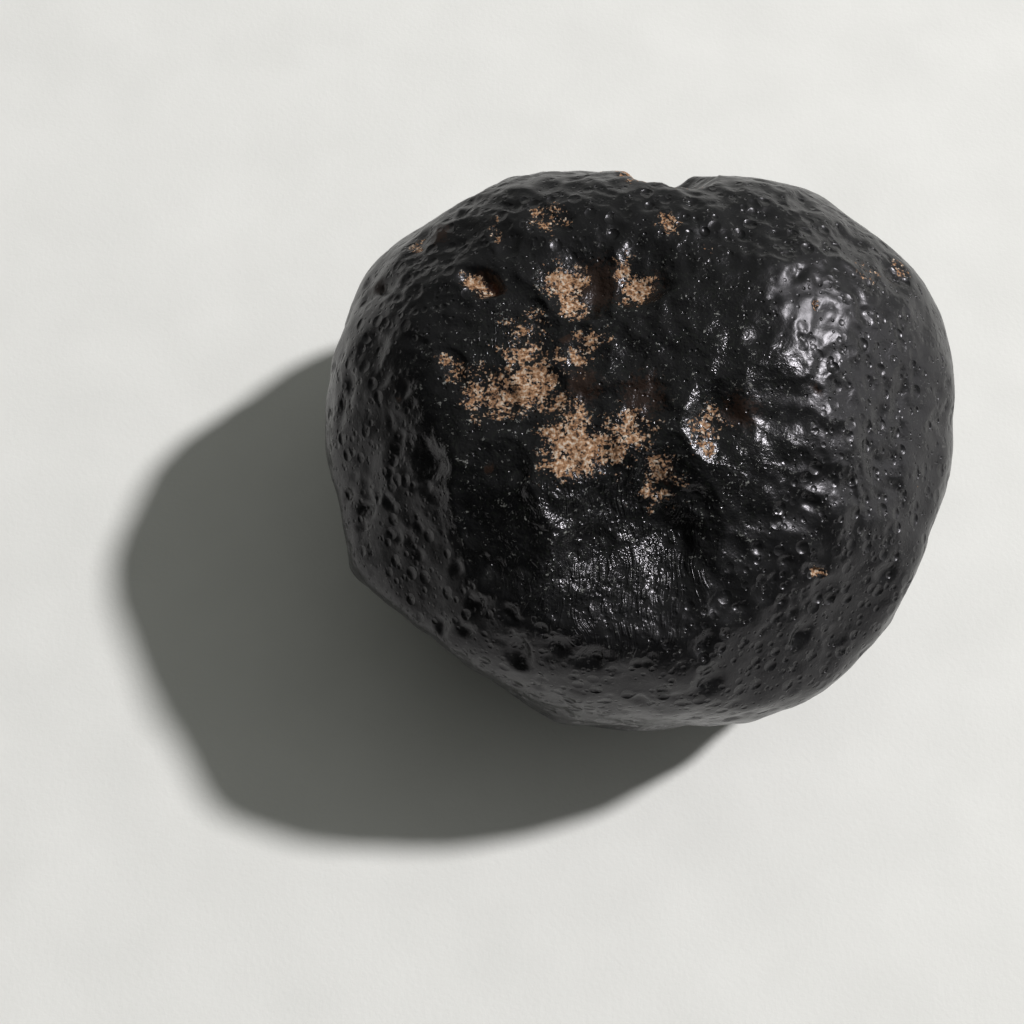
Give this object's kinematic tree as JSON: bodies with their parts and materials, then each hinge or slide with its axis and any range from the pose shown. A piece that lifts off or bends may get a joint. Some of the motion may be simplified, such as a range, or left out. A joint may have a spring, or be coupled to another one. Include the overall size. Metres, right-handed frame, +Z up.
{
  "type": "tektite",
  "caption": "Rounded lump of black natural glass, dimpled and pitted all over, that rests on a small flat foot.",
  "frame": {"origin": "on the surface the lump rests on, under the middle of its outline", "axes": "+X along the longest extent, +Y towards the side with the deep notch, away from the great hollow, +Z up"},
  "size_m": [0.0494, 0.0462, 0.0344],
  "materials": {
    "glass": "satin"
  },
  "bodies": {
    "root": {"tektite": "glass"}
  },
  "joints": []
}
